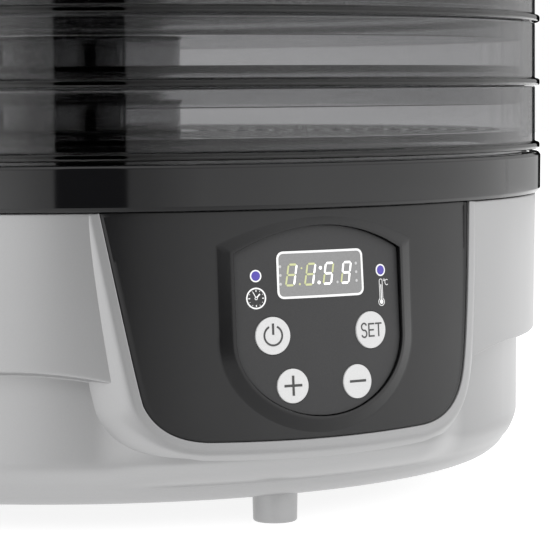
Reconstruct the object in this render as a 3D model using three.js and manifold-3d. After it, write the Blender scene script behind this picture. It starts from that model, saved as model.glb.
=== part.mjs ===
// Round five-tray food and filament dryer: fan base with control panel, stacking trays and lid.
// Millimetres, +Z up, the control panel faces -Y, and the feet stand on z = 0.
import * as THREE from 'three';
import { mergeVertices } from 'three/addons/utils/BufferGeometryUtils.js';
import Module from 'manifold-3d';

const wasm = await Module();
wasm.setup();

// Driving dimensions.
const GAP = 0.3;
const SEGMENTS = 36;
const PANEL_SEGMENTS = 80;
const BAND_RADIUS = 165;
const BODY_BOTTOM = 10.6;
const LOWER_RADIUS = 156;
const LEDGE_Z = 48.6;
const SHELL_RADIUS = 163.1;
const SHELL_TOP = 103.6;
const WALL = 2.6;
const COVER_RADIUS = 121.4;
const DECK_FLOOR = 112.5;
const DECK_RIM = 118.3;
const CHIMNEY_RADIUS = 31.2;
const FIRST_SEAM = 119.2;
const TRAY_PITCH = 22.75;
const TRAY_COUNT = 5;
const TRAY_SECTORS = 8;
const TRAY_WALL_RADIUS = 163;
const FLANGE_RADIUS = 164.7;
const SKIRT_DEPTH = 6.4;
const TRAY_FLOOR_RISE = 6.9;
const FOOT_RADIUS = 7.45;
const FOOT_CIRCLE = 132;

// The control panel is a shallow cone about Z that leans back a little towards the top.
const PANEL_RADIUS = 163.2;
const PANEL_Z = 65.7;
const PANEL_LEAN = 0.0684;
const FASCIA_DEPTH = 2;
const DISPLAY = { width: 32.2, height: 14.9, z: 83 };
const LAMP = { arc: 23.4, z: 83.1, radius: 1.8 };
const BUTTON_STEM_RADIUS = 2.6;
const BUTTONS = [
  { name: 'button_power', arc: -18.2, z: 64.2, radius: 5.95 },
  { name: 'button_set', arc: 18.2, z: 64.2, radius: 5.95 },
  { name: 'button_plus', arc: -11.9, z: 48.15, radius: 5.47 },
  { name: 'button_minus', arc: 11.9, z: 48.15, radius: 5.47 },
];

// Inside the base.
const DUCT_RADIUS = 46;
const DUCT_BEND_Z = 70;
const DUCT_TOP = 106;
const MOTOR_RADIUS = 19;
const SHAFT_RADIUS = 2;
const FAN_RADIUS = 42;
const FAN_Z = 50;
const BOARD_Y = -148;

const finish = (colour, roughness, metalness = 0, opacity = 1) =>
  new THREE.MeshStandardMaterial({
    color: colour, roughness, metalness, opacity, transparent: opacity < 1,
  });

const model = new THREE.Group();

// ---- helpers ---------------------------------------------------------------------------------

function signedVolume(geometry) {
  const points = geometry.attributes.position;
  const [a, b, c] = [new THREE.Vector3(), new THREE.Vector3(), new THREE.Vector3()];
  let total = 0;
  for (let i = 0; i < geometry.index.count; i += 3) {
    a.fromBufferAttribute(points, geometry.index.getX(i));
    b.fromBufferAttribute(points, geometry.index.getX(i + 1));
    c.fromBufferAttribute(points, geometry.index.getX(i + 2));
    total += a.dot(b.cross(c)) / 6;
  }
  return total;
}

function toSolid(geometry) {
  const bare = geometry.clone();
  bare.deleteAttribute('normal');
  bare.deleteAttribute('uv');
  const welded = mergeVertices(bare, 1e-4);
  const triVerts = Uint32Array.from(welded.index.array);
  if (signedVolume(welded) < 0) triVerts.reverse();
  const vertProperties = Float32Array.from(welded.attributes.position.array);
  return new wasm.Manifold(new wasm.Mesh({ numProp: 3, vertProperties, triVerts }));
}

function toGeometry(solid) {
  const mesh = solid.getMesh();
  const geometry = new THREE.BufferGeometry();
  geometry.setAttribute('position', new THREE.BufferAttribute(mesh.vertProperties, 3));
  geometry.setIndex(new THREE.BufferAttribute(mesh.triVerts, 1));
  geometry.computeVertexNormals();
  return geometry;
}

function addNode(name, solid, material) {
  const mesh = new THREE.Mesh(toGeometry(solid), material);
  mesh.name = name;
  model.add(mesh);
}

// A ring or a turned solid about Z from [radius, z] corners; the profile closes on itself.
function turned(profile, segments = SEGMENTS) {
  const points = [...profile, profile[0]].map(([radius, z]) => new THREE.Vector2(radius, z));
  return toSolid(new THREE.LatheGeometry(points, segments).rotateX(Math.PI / 2));
}

// A full solid of revolution: the profile runs from axis to axis.
function spun(profile, segments) {
  const points = profile.map(([radius, z]) => new THREE.Vector2(radius, z));
  return toSolid(new THREE.LatheGeometry(points, segments).rotateX(Math.PI / 2));
}

function rod(radius, zBottom, zTop, segments = 16) {
  return spun([[0, zBottom], [radius, zBottom], [radius, zTop], [0, zTop]], segments);
}

function block(width, depth, height, x = 0, y = 0, z = 0) {
  return toSolid(new THREE.BoxGeometry(width, depth, height).translate(x, y, z));
}

// A prism that runs along Y through the front wall, from an outline drawn in X and Z.
function frontPrism(shape) {
  const options = { depth: BAND_RADIUS + 15, bevelEnabled: false, curveSegments: 8 };
  return toSolid(new THREE.ExtrudeGeometry(shape, options).rotateX(Math.PI / 2));
}

const leanRadius = (z, offset) => PANEL_RADIUS + (PANEL_Z - z) * PANEL_LEAN + offset;

// The layer of the leaning panel between two distances from its face.
function panelShell(inner, outer, zBottom = 10, zTop = SHELL_TOP) {
  return turned([
    [leanRadius(zBottom, inner), zBottom], [leanRadius(zBottom, outer), zBottom],
    [leanRadius(zTop, outer), zTop], [leanRadius(zTop, inner), zTop],
  ], PANEL_SEGMENTS);
}

// A solid built on the Z axis, moved so that z = 0 lies on the panel face and +Z points outward.
function onPanel(solid, arc, z, lift = 0) {
  const angle = arc / PANEL_RADIUS;
  const outward = new THREE.Vector3(Math.sin(angle), -Math.cos(angle), PANEL_LEAN).normalize();
  const turn = new THREE.Quaternion().setFromUnitVectors(new THREE.Vector3(0, 0, 1), outward);
  const radius = leanRadius(z, 0);
  const place = new THREE.Vector3(radius * Math.sin(angle), -radius * Math.cos(angle), z);
  place.addScaledVector(outward, lift);
  const matrix = new THREE.Matrix4().compose(place, turn, new THREE.Vector3(1, 1, 1));
  return solid.transform(matrix.toArray());
}

function ringOf(count, radius, makeOne) {
  const solids = [];
  for (let i = 0; i < count; i += 1) {
    const angle = (i / count) * 2 * Math.PI;
    solids.push(makeOne(radius * Math.cos(angle), radius * Math.sin(angle), angle));
  }
  return solids;
}

const joined = (solids) => wasm.Manifold.union(solids);

// ---- outlines of the control panel, drawn in X and Z ------------------------------------------

// A wide plate that narrows downward: each argument is an [x, z] on the right-hand half.
function taperedShape(top, sideBend, sideEnd, cornerBend, bottom) {
  const shape = new THREE.Shape();
  shape.moveTo(-bottom[0], bottom[1]);
  shape.lineTo(bottom[0], bottom[1]);
  shape.quadraticCurveTo(cornerBend[0], cornerBend[1], sideEnd[0], sideEnd[1]);
  shape.quadraticCurveTo(sideBend[0], sideBend[1], top[0], top[1]);
  shape.lineTo(-top[0], top[1]);
  shape.quadraticCurveTo(-sideBend[0], sideBend[1], -sideEnd[0], sideEnd[1]);
  shape.quadraticCurveTo(-cornerBend[0], cornerBend[1], -bottom[0], bottom[1]);
  return shape;
}

function fasciaShape(grow) {
  return taperedShape(
    [68.5 + grow, SHELL_TOP + 2], [67.5 + grow, 66],
    [60.5 + grow, 43], [57 + grow, 30.4 - grow], [44, 30.4 - grow]);
}

function bibShape() {
  return taperedShape([74, SHELL_TOP + 2], [72.5, 62], [66, 38], [61, 17.5], [42, 17.5]);
}

// The shield-shaped control plate: arched top, straight sides, half-round bottom.
function shieldShape(grow) {
  const halfWidth = 30.6 + grow;
  const shoulder = 90.2 + grow;
  const shape = new THREE.Shape();
  shape.moveTo(halfWidth, 63);
  shape.lineTo(halfWidth, shoulder);
  shape.quadraticCurveTo(0, shoulder + 16.4, -halfWidth, shoulder);
  shape.lineTo(-halfWidth, 63);
  shape.absellipse(0, 63, halfWidth, 24.8 + grow, Math.PI, 2 * Math.PI, false);
  return shape;
}

// ---- base: housing, bottom cover, feet, deck ---------------------------------------------------

// The large bottom round of the silver shell, a superellipse quarter.
function bottomRound(inset) {
  const points = [];
  const steps = 4;
  for (let i = 0; i <= steps; i += 1) {
    const angle = (i / steps) * (Math.PI / 2);
    const radius = LOWER_RADIUS - inset - 11.2 + 11.2 * Math.cos(angle) ** 1.28;
    const z = 25.4 - (14.8 - inset) * Math.sin(angle) ** 1.28;
    points.push([radius, z]);
  }
  return points;
}

const screwReach = (COVER_RADIUS - 6) * Math.SQRT1_2;
const coverScrewPlaces = [[1, 1], [-1, 1], [-1, -1], [1, -1]]
  .map(([x, y]) => [x * screwReach, y * screwReach]);

function lowerHousing() {
  const shell = turned([
    [COVER_RADIUS + GAP, BODY_BOTTOM],
    ...bottomRound(0).reverse(),
    [LOWER_RADIUS + 0.2, LEDGE_Z], [157.6, LEDGE_Z + 2.2], [160.9, LEDGE_Z + 4.5],
    [162.4, LEDGE_Z + 9], [SHELL_RADIUS, SHELL_TOP], [SHELL_RADIUS - WALL, SHELL_TOP],
    [162.4 - WALL, LEDGE_Z + 8], [LOWER_RADIUS - WALL, LEDGE_Z - 1],
    ...bottomRound(WALL),
    [COVER_RADIUS + 4, 15.6], [COVER_RADIUS - 13, 15.6],
    [COVER_RADIUS - 13, 13.2], [COVER_RADIUS + GAP, 13.2],
  ]);
  const bibRing = turned([
    [LOWER_RADIUS - 2, 20], [159.5, 20], [163.5, 24], [165.4, 31],
    [SHELL_RADIUS, SHELL_TOP], [LOWER_RADIUS - 2, SHELL_TOP],
  ], PANEL_SEGMENTS);
  const bib = bibRing.intersect(frontPrism(bibShape()));
  const pocket = panelShell(-FASCIA_DEPTH - 3.3, 20, 10, SHELL_TOP + 1);
  const pocketCut = pocket.intersect(frontPrism(fasciaShape(GAP)));
  const window = block(96, 40, 62, 0, -BAND_RADIUS + 12, 69);
  const glandHole = rod(7.3, 140, 180).transform(rearward(34));
  const screwHoles = coverScrewPlaces.map(([x, y]) => rod(1.7, 12, 17, 8).translate([x, y, 0]));
  return shell.add(bib).subtract(joined([pocketCut, window, glandHole, ...screwHoles]));
}

// Turns a solid built upward on Z so that it points to +Y at the given height.
function rearward(z) {
  const matrix = new THREE.Matrix4().makeRotationX(-Math.PI / 2);
  matrix.setPosition(0, 0, z);
  return matrix.toArray();
}

function bottomCover() {
  const plate = rod(COVER_RADIUS, BODY_BOTTOM + GAP, 12.9, SEGMENTS);
  const slots = ringOf(12, 32, (x, y, angle) =>
    block(24, 5, 10).rotate([0, 0, (angle * 180) / Math.PI]).translate([x, y, 12]));
  const screwHoles = coverScrewPlaces.map(([x, y]) => rod(1.7, 9, 17, 8).translate([x, y, 0]));
  const posts = [-28, 28].flatMap((x) => [70, 100].map((y) => block(5, 5, 3, x, y, 14.2)));
  return joined([plate, ...posts]).subtract(joined([...slots, ...screwHoles]));
}

function coverScrew(x, y) {
  const bottom = BODY_BOTTOM - 1.4;
  const profile = [[0, bottom], [3.1, bottom], [3.1, BODY_BOTTOM], [1.4, BODY_BOTTOM],
    [1.4, 16.2], [0, 16.2]];
  return spun(profile, 8).translate([x, y, 0]);
}

function foot(x, y) {
  const top = BODY_BOTTOM - GAP;
  const profile = [[0, 0], [FOOT_RADIUS - 1, 0], [FOOT_RADIUS, 1.2], [FOOT_RADIUS, top], [0, top]];
  return spun(profile, 20).translate([x, y, 0]);
}

function deck() {
  const underside = DECK_FLOOR - 2.2;
  return turned([
    [161, SHELL_TOP + GAP], [163.9, SHELL_TOP + GAP], [164.9, 105.2],
    [BAND_RADIUS, DECK_RIM - 1], [BAND_RADIUS - 0.8, DECK_RIM], [160.6, DECK_RIM],
    [160.3, DECK_FLOOR], [CHIMNEY_RADIUS + 2.2, DECK_FLOOR],
    [CHIMNEY_RADIUS + 2.2, DECK_RIM], [CHIMNEY_RADIUS, DECK_RIM],
    [CHIMNEY_RADIUS, underside], [161, underside],
  ]);
}

function outletGrille() {
  const plate = rod(CHIMNEY_RADIUS - GAP, 110.5, 112.5, 32);
  const slots = ringOf(10, 18, (x, y, angle) =>
    block(18, 5, 10).rotate([0, 0, (angle * 180) / Math.PI]).translate([x, y, 111]));
  return plate.subtract(joined(slots));
}

// ---- control panel -----------------------------------------------------------------------------

const buttonBore = (button, radius) => onPanel(rod(radius, -8, 4), button.arc, button.z);
const lampBore = (side) => onPanel(rod(LAMP.radius + GAP, -8, 4, 8), side * LAMP.arc, LAMP.z);

function displayBlock(clearance, back, front) {
  const width = DISPLAY.width + 2 * clearance;
  const height = DISPLAY.height + 2 * clearance;
  const centre = (back + front) / 2;
  return onPanel(block(width, height, front - back, 0, 0, centre), 0, DISPLAY.z);
}

function panelBores() {
  const bores = BUTTONS.map((button) => buttonBore(button, button.radius + GAP));
  return joined([...bores, lampBore(-1), lampBore(1), displayBlock(GAP, -8, 4)]);
}

function fascia() {
  const layer = panelShell(-FASCIA_DEPTH - 3, -FASCIA_DEPTH);
  const plate = layer.intersect(frontPrism(fasciaShape(0)));
  const foothill = panelShell(-FASCIA_DEPTH - 1, -1).intersect(frontPrism(shieldShape(5.5)));
  const boss = panelShell(-FASCIA_DEPTH - 1, 0).intersect(frontPrism(shieldShape(3)));
  const seat = panelShell(-1.5, 5).intersect(frontPrism(shieldShape(GAP)));
  return joined([plate, foothill, boss]).subtract(seat).subtract(panelBores());
}

function controlPlate() {
  const layer = panelShell(-1.2, 0).intersect(frontPrism(shieldShape(0)));
  return layer.subtract(panelBores());
}

function button(spec) {
  const profile = [[0, -5], [BUTTON_STEM_RADIUS, -5], [BUTTON_STEM_RADIUS, -2.5],
    [spec.radius, -2.5], [spec.radius, 0.3], [spec.radius - 0.4, 0.6], [0, 0.6]];
  return onPanel(spun(profile, 16), spec.arc, spec.z);
}

function lamp(side) {
  const profile = [[0, -10], [LAMP.radius, -10], [LAMP.radius, 0], [0, 0.5]];
  return onPanel(spun(profile, 8), side * LAMP.arc, LAMP.z);
}

// A tactile switch stands on the board and reaches to just behind its button's stem.
function tactSwitch(spec) {
  const angle = spec.arc / PANEL_RADIUS;
  const stemEnd = (leanRadius(spec.z, -6) * Math.cos(angle));
  const x = leanRadius(spec.z, -6) * Math.sin(angle);
  const back = BOARD_Y - 0.8 - GAP;
  const front = -stemEnd;
  return block(6, back - front, 6, x, (back + front) / 2, spec.z - 0.4);
}

// ---- fan, heater and electronics inside the base ------------------------------------------------

function airDuct() {
  const throat = CHIMNEY_RADIUS + 2;
  return turned([
    [DUCT_RADIUS, 13.2], [DUCT_RADIUS + 2.5, 13.2], [DUCT_RADIUS + 2.5, DUCT_BEND_Z],
    [throat + 2.5, DUCT_TOP], [throat, DUCT_TOP], [DUCT_RADIUS, DUCT_BEND_Z],
  ], 32);
}

function motorBracket() {
  const arm = 2 * DUCT_RADIUS - 2;
  const ring = rod(24, 13.2, 16.3, 24);
  return joined([ring, block(arm, 9, 3.1, 0, 0, 14.75), block(9, arm, 3.1, 0, 0, 14.75)]);
}

function fanMotor() {
  return spun([[0, 16.6], [MOTOR_RADIUS, 16.6], [MOTOR_RADIUS, 34], [MOTOR_RADIUS - 2, 36],
    [7, 36], [7, 39], [0, 39]], 24);
}

function fan() {
  const hub = rod(11, FAN_Z - 8, FAN_Z + 8, 20);
  const blades = ringOf(6, 25, (x, y, angle) =>
    block(2 * (FAN_RADIUS - 25), 17, 1.6).rotate([32, 0, (angle * 180) / Math.PI])
      .translate([x, y, FAN_Z]));
  const bore = rod(SHAFT_RADIUS + GAP, FAN_Z - 20, FAN_Z + 5, 12);
  return joined([hub, ...blades]).intersect(rod(FAN_RADIUS, 0, 100, 32)).subtract(bore);
}

function heaterFrame() {
  return joined([block(82, 1.4, 16, 0, 0, 74), block(1.4, 82, 16, 0, 0, 74)]);
}

function heaterCoil() {
  return toSolid(new THREE.TorusGeometry(28, 1.8, 6, 20).translate(0, 0, 84.2));
}

function cordGland(rearFace) {
  const flange = LOWER_RADIUS + GAP;
  const profile = [[3.6, 148], [7, 148], [7, flange], [10, flange], [10, flange + 3],
    [7, rearFace], [3.6, rearFace]];
  return turned(profile, 16).transform(rearward(34));
}

// ---- trays and lid -------------------------------------------------------------------------------

// The flange, the wall above it and the skirt that nests in the piece below, from a seam height.
function tray(seam) {
  const hub = CHIMNEY_RADIUS;
  const profile = [
    [hub, 4.9], [157.5, 4.9], [157.5, -SKIRT_DEPTH], [159.2, -SKIRT_DEPTH], [159.2, GAP],
    [FLANGE_RADIUS, GAP], [FLANGE_RADIUS, 2.5], [TRAY_WALL_RADIUS, 2.9],
    [TRAY_WALL_RADIUS, TRAY_PITCH], [TRAY_WALL_RADIUS - 1.8, TRAY_PITCH],
    [TRAY_WALL_RADIUS - 1.8, TRAY_FLOOR_RISE], [hub + 2, TRAY_FLOOR_RISE],
    [hub + 2, 18.7], [hub, 18.7],
  ];
  const body = turned(profile.map(([radius, z]) => [radius, z + seam]));
  const openings = ringOf(TRAY_SECTORS, 1, (x, y) => trayOpening(Math.atan2(y, x), 42, 94)
    .add(trayOpening(Math.atan2(y, x), 100, 151)));
  return body.subtract(joined(openings).translate([0, 0, seam + 6]));
}

// A wedge-shaped opening in a tray floor, between two radii.
function trayOpening(angle, inner, outer) {
  const halfAngle = Math.PI / TRAY_SECTORS;
  const rib = 3;
  const halfInner = inner * Math.sin(halfAngle) - rib;
  const halfOuter = outer * Math.sin(halfAngle) - rib;
  const reach = Math.cos(halfAngle);
  const shape = new THREE.Shape();
  shape.moveTo(inner, -halfInner);
  shape.lineTo(outer * reach, -halfOuter);
  shape.lineTo(outer * reach, halfOuter);
  shape.lineTo(inner, halfInner);
  const prism = new THREE.ExtrudeGeometry(shape, { depth: 10, bevelEnabled: false });
  return toSolid(prism.translate(0, 0, -5).rotateZ(angle));
}

function lid(seam) {
  const profile = [
    [0, 18.6], [120, 14.5], [150, 10.5], [157.5, 5.5], [157.5, -SKIRT_DEPTH],
    [159.2, -SKIRT_DEPTH], [159.2, GAP], [FLANGE_RADIUS, GAP], [FLANGE_RADIUS, 2.5],
    [161.5, 7], [152, 12.8], [121, 17], [0, 21],
  ];
  const body = spun(profile.map(([radius, z]) => [radius, z + seam]), SEGMENTS);
  const slots = ringOf(8, 23, (x, y, angle) =>
    block(18, 5, 14).rotate([0, 0, (angle * 180) / Math.PI]).translate([x, y, seam + 19]));
  return body.subtract(joined(slots));
}

// ---- assembly --------------------------------------------------------------------------------------

const silver = finish(0x9b9b9c, 0.42);
const black = finish(0x141416, 0.3);
const plateBlack = finish(0x1d1d1f, 0.55);
const smoke = finish(0x2b2b2d, 0.12, 0, 0.5);
const white = finish(0xe6e6e6, 0.5);
const steel = finish(0xb5b7ba, 0.3, 1);
const darkWindow = finish(0x55575a, 0.2);
const board = finish(0x1f5a34, 0.6);
const component = finish(0x202226, 0.5);
const mica = finish(0xb3a184, 0.7);
const duct = finish(0x8d9094, 0.4, 0.8);

addNode('lower_housing', lowerHousing(), silver);
addNode('bottom_cover', bottomCover(), black);
coverScrewPlaces.forEach(([x, y], i) => addNode(`cover_screw_${i + 1}`, coverScrew(x, y), steel));
const footPlaces = { front: [0, -1], right: [1, 0], rear: [0, 1], left: [-1, 0] };
for (const [side, [x, y]] of Object.entries(footPlaces)) {
  addNode(`foot_${side}`, foot(x * FOOT_CIRCLE, y * FOOT_CIRCLE), silver);
}
addNode('deck', deck(), black);
addNode('outlet_grille', outletGrille(), black);

addNode('fascia', fascia(), black);
addNode('control_plate', controlPlate(), plateBlack);
addNode('display_window', displayBlock(0, -1.6, 0.3), darkWindow);
addNode('display_module', displayBlock(-1, -12.2, -1.9), component);
addNode('lamp_timer', lamp(-1), finish(0x8a86d8, 0.3));
addNode('lamp_heat', lamp(1), finish(0x8a86d8, 0.3));
for (const spec of BUTTONS) {
  addNode(spec.name, button(spec), white);
  addNode(spec.name.replace('button', 'switch'), tactSwitch(spec), component);
}
addNode('control_board', block(58, 1.6, 62, 0, BOARD_Y, 66), board);

addNode('air_duct', airDuct(), duct);
addNode('motor_bracket', motorBracket(), steel);
addNode('fan_motor', fanMotor(), steel);
addNode('motor_shaft', rod(SHAFT_RADIUS, 39.3, FAN_Z + 4.7, 12), steel);
addNode('fan', fan(), component);
addNode('heater_frame', heaterFrame(), mica);
addNode('heater_coil', heaterCoil(), steel);
addNode('thermal_fuse', block(12, 3, 3, 14, 2.5, 70), white);
addNode('temperature_probe', block(3, 3, 10, 0, 33, 94), steel);
addNode('power_board', block(70, 42, 1.6, 0, 85, 16.8), board);
addNode('relay', block(19, 15, 16, -20, 82, 25.9), component);
addNode('transformer', block(24, 22, 20, 12, 84, 27.9), finish(0xc9b04a, 0.6));
const frontFace = new THREE.Box3().setFromObject(model).min.y;
addNode('cord_gland', cordGland(-frontFace), black);

for (let i = 0; i < TRAY_COUNT; i += 1) {
  addNode(`tray_${i + 1}`, tray(FIRST_SEAM + i * TRAY_PITCH), smoke);
}
addNode('lid', lid(FIRST_SEAM + TRAY_COUNT * TRAY_PITCH), smoke);

export default model;
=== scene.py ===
"""Looks of the round stacking-tray dryer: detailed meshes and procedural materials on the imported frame."""

import math

import bmesh
import bpy
import numpy as np
from mathutils import Matrix, Vector


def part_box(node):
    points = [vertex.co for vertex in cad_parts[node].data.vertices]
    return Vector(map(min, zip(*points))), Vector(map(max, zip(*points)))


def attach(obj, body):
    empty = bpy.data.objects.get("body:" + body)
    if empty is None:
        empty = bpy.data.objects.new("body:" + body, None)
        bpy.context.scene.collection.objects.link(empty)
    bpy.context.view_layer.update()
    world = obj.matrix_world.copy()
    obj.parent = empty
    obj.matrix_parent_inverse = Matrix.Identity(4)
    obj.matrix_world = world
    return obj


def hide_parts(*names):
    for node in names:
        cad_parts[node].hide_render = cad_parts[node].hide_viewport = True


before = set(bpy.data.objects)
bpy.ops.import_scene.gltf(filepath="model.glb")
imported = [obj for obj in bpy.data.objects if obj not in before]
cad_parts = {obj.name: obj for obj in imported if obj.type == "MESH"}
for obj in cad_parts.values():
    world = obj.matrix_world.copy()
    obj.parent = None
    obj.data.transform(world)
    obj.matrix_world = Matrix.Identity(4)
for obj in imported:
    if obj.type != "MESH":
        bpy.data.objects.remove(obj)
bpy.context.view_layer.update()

MM = 0.001


def corner_mm(node, corner, axis):
    """One coordinate of a CAD node's box, in millimetres."""
    return getattr(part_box(node)[corner], axis) / MM


# Driving sizes in millimetres, read from the frame.
BAND_RADIUS = corner_mm("deck", 1, "x")
BAND_BOTTOM = corner_mm("deck", 0, "z")
BAND_TOP = corner_mm("deck", 1, "z")
SHELL_RADIUS = corner_mm("lower_housing", 1, "x")
SHELL_TOP = corner_mm("lower_housing", 1, "z")
BODY_BOTTOM = corner_mm("lower_housing", 0, "z")
FLANGE_RADIUS = corner_mm("tray_1", 1, "x")
TRAY_WALL_RADIUS = FLANGE_RADIUS - 1.7
SKIRT_DEPTH = 6.4
FIRST_SEAM = corner_mm("tray_1", 0, "z") + SKIRT_DEPTH
TRAY_PITCH = corner_mm("tray_2", 0, "z") - corner_mm("tray_1", 0, "z")
SKIRT_RADIUS = 159.2
TRAYS = sorted(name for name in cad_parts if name.startswith("tray_"))
TRAY_FLOOR_RISE = 6.9
CHIMNEY_RADIUS = 31.2
LOWER_RADIUS = SHELL_RADIUS - 7.1
LEDGE_Z = BODY_BOTTOM + 43.9
CREASE_Z = BODY_BOTTOM + 5.6
COVER_RADIUS = corner_mm("bottom_cover", 1, "x")
FOOT_RADIUS = (corner_mm("foot_front", 1, "x") - corner_mm("foot_front", 0, "x")) / 2

# The control panel: a shallow cone about Z that leans back towards the top, as in the CAD.
PANEL_RADIUS = 163.2
PANEL_Z = 65.7
PANEL_LEAN = 0.0684
FASCIA_BOTTOM = corner_mm("fascia", 0, "z")
FASCIA_CORNER = (59.2, 43.5)
# The fascia's right (1) and left (-1) edge: how far out and how high it bends, and how far out it ends.
FASCIA_EDGES = {1: (63.4, 51.5, 65.7), -1: (60.6, 47.0, 70.4)}
DISPLAY_HALF_WIDTH = 16.1
DISPLAY_HALF_HEIGHT = 7.45
DISPLAY_Z = 83.0
LAMP_ARC = 23.4
LAMP_Z = 83.1
ICON_Z = 76.1
PLATE_LIFT = 0.0
BOSS_STRIP = 1.3
BOSS_FLANK = 4.0
FASCIA_RISE = 1.6
PLATE_HALF_WIDTH = 30.6
PLATE_SHOULDER = 90.2
PLATE_MIDDLE = 63.0
BUTTONS = {
    "button_power": (-18.2, 64.2, 5.95),
    "button_set": (18.2, 64.2, 5.95),
    "button_plus": (-11.9, 48.15, 5.47),
    "button_minus": (11.9, 48.15, 5.47),
}


# ---- camera ----


def make_camera():
    """A long lens close to level with the tray stack, turned a little right, down and clockwise."""
    distance = 0.96518
    height = 0.1407
    azimuth = math.radians(-26.465)
    yaw, pitch, roll = 0.07, 0.0704, -0.0076
    forward = Vector((-math.sin(azimuth), math.cos(azimuth), 0))
    right = Vector((math.cos(azimuth), math.sin(azimuth), 0))
    down = Vector((0, 0, -1))
    right, forward = turn_pair(right, forward, yaw)
    down, forward = turn_pair(down, forward, pitch)
    right, down = turn_pair(right, down, roll)
    camera = new_object("camera", bpy.data.cameras.new("camera"))
    place = Vector((distance * math.sin(azimuth), -distance * math.cos(azimuth), height))
    axes = Matrix((right, -down, -forward)).transposed()
    camera.matrix_world = Matrix.Translation(place) @ axes.to_4x4()
    camera.data.sensor_width = 36
    camera.data.lens = 170.6
    camera.data.clip_start = 0.05
    bpy.context.scene.camera = camera


def new_object(name, data):
    made = bpy.data.objects.new(name, data)
    bpy.context.scene.collection.objects.link(made)
    return made


def turn_pair(first, second, angle):
    """Two perpendicular axes, turned in their own plane."""
    cosine, sine = math.cos(angle), math.sin(angle)
    return cosine * first - sine * second, sine * first + cosine * second


# ---- mesh helpers ----


def make_object(name, parts, material, body, sharp=32):
    """One object from (points in millimetres, faces) parts, riding on a body."""
    points, faces = [], []
    for part_points, part_faces in parts:
        start = len(points)
        points.extend(tuple(float(c) * MM for c in p) for p in part_points)
        faces.extend(tuple(i + start for i in face) for face in part_faces)
    mesh = bpy.data.meshes.new(name)
    mesh.from_pydata(points, [], faces)
    work = bmesh.new()
    work.from_mesh(mesh)
    bmesh.ops.remove_doubles(work, verts=work.verts, dist=0.001 * MM)
    bmesh.ops.recalc_face_normals(work, faces=work.faces)
    work.to_mesh(mesh)
    work.free()
    mesh.materials.append(material)
    mesh.shade_smooth()
    mesh.set_sharp_from_angle(angle=math.radians(sharp))
    piece = new_object(name, mesh)
    flatten_shading(piece)
    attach(piece, body)
    return piece


def flatten_shading(piece):
    """Keeps large faces flat-shaded up to their rounded edges, which clear walls need to stay clear."""
    weighted = piece.modifiers.new("weighted_normals", "WEIGHTED_NORMAL")
    weighted.mode = "FACE_AREA"
    weighted.weight = 100
    weighted.keep_sharp = True


def fillet(corners, steps=5):
    """A closed outline from (r, z, radius) corners, each rounded with its own radius."""
    outline = []
    count = len(corners)
    for i, (x, y, radius) in enumerate(corners):
        here = Vector((x, y))
        before = Vector(corners[i - 1][:2]) - here
        after = Vector(corners[(i + 1) % count][:2]) - here
        angle = before.angle(after, math.pi)
        if radius <= 0 or angle > math.radians(176):
            outline.append((x, y))
            continue
        reach = min(radius / math.tan(angle / 2), 0.49 * before.length, 0.49 * after.length)
        start, end = here + before.normalized() * reach, here + after.normalized() * reach
        for k in range(steps + 1):
            t = k / steps
            point = (1 - t) ** 2 * start + 2 * t * (1 - t) * here + t * t * end
            outline.append((point.x, point.y))
    return outline


def lathe(outline, segments=192, angles=None):
    """A ring (or a full solid where the outline touches the axis) turned about Z."""
    if angles is None:
        angles = [2 * math.pi * i / segments for i in range(segments)]
    count, rows = len(angles), len(outline)
    points = [(r * math.cos(a), r * math.sin(a), z) for a in angles for r, z in outline]
    faces = []
    for i in range(count):
        for j in range(rows):
            a, b = i * rows, ((i + 1) % count) * rows
            k = (j + 1) % rows
            if max(outline[j][0], outline[k][0]) > 0:
                faces.append((a + j, b + j, b + k, a + k))
    return points, faces


def ring_walls(outline, turns):
    """An open outline turned about Z, in the turns' directions; its end isn't joined to its start."""
    rows = len(outline)
    points = [(r * math.cos(a), r * math.sin(a), z) for a in turns for r, z in outline]
    faces = []
    for i in range(len(turns)):
        a, b = i * rows, (i + 1) % len(turns) * rows
        faces.extend((a + j, b + j, b + j + 1, a + j + 1) for j in range(rows - 1))
    return points, faces


def grid_faces(rows, count, closed=False):
    """Faces between rows of count points each, which join up round the end where closed."""
    return [
        (r * count + i, r * count + (i + 1) % count, (r + 1) * count + (i + 1) % count, (r + 1) * count + i)
        for r in range(rows - 1)
        for i in range(count if closed else count - 1)
    ]


def moved(part, matrix):
    points, faces = part
    return [tuple(matrix @ Vector(p)) for p in points], faces


def polar_plate(radii, turns, is_open, low, high):
    """A flat plate between two heights whose polar cells may be open; its rims join other walls."""
    rings, sectors = len(radii), len(turns)
    points = [(r * math.cos(a), r * math.sin(a), z) for z in (low, high) for r in radii for a in turns]

    def at(level, i, j):
        return level * rings * sectors + i * sectors + j % sectors

    def solid(i, j):
        return 0 <= i < rings - 1 and not is_open(i, j % sectors)

    faces = []
    for i in range(rings - 1):
        for j in range(sectors):
            if not solid(i, j):
                continue
            for level in (0, 1):
                cell = (i, j), (i + 1, j), (i + 1, j + 1), (i, j + 1)
                faces.append(tuple(at(level, *corner) for corner in cell))
            edges = (
                (i == 0 or solid(i - 1, j), (i, j), (i, j + 1)),
                (i == rings - 2 or solid(i + 1, j), (i + 1, j), (i + 1, j + 1)),
                (solid(i, j - 1), (i, j), (i + 1, j)),
                (solid(i, j + 1), (i, j + 1), (i + 1, j + 1)),
            )
            for covered, a, b in edges:
                if not covered:
                    faces.append((at(0, *a), at(0, *b), at(1, *b), at(1, *a)))
    return points, faces


# ---- the panel's own coordinates ----


def lean_radius(z, lift=0.0):
    return PANEL_RADIUS + (PANEL_Z - z) * PANEL_LEAN + lift


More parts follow.
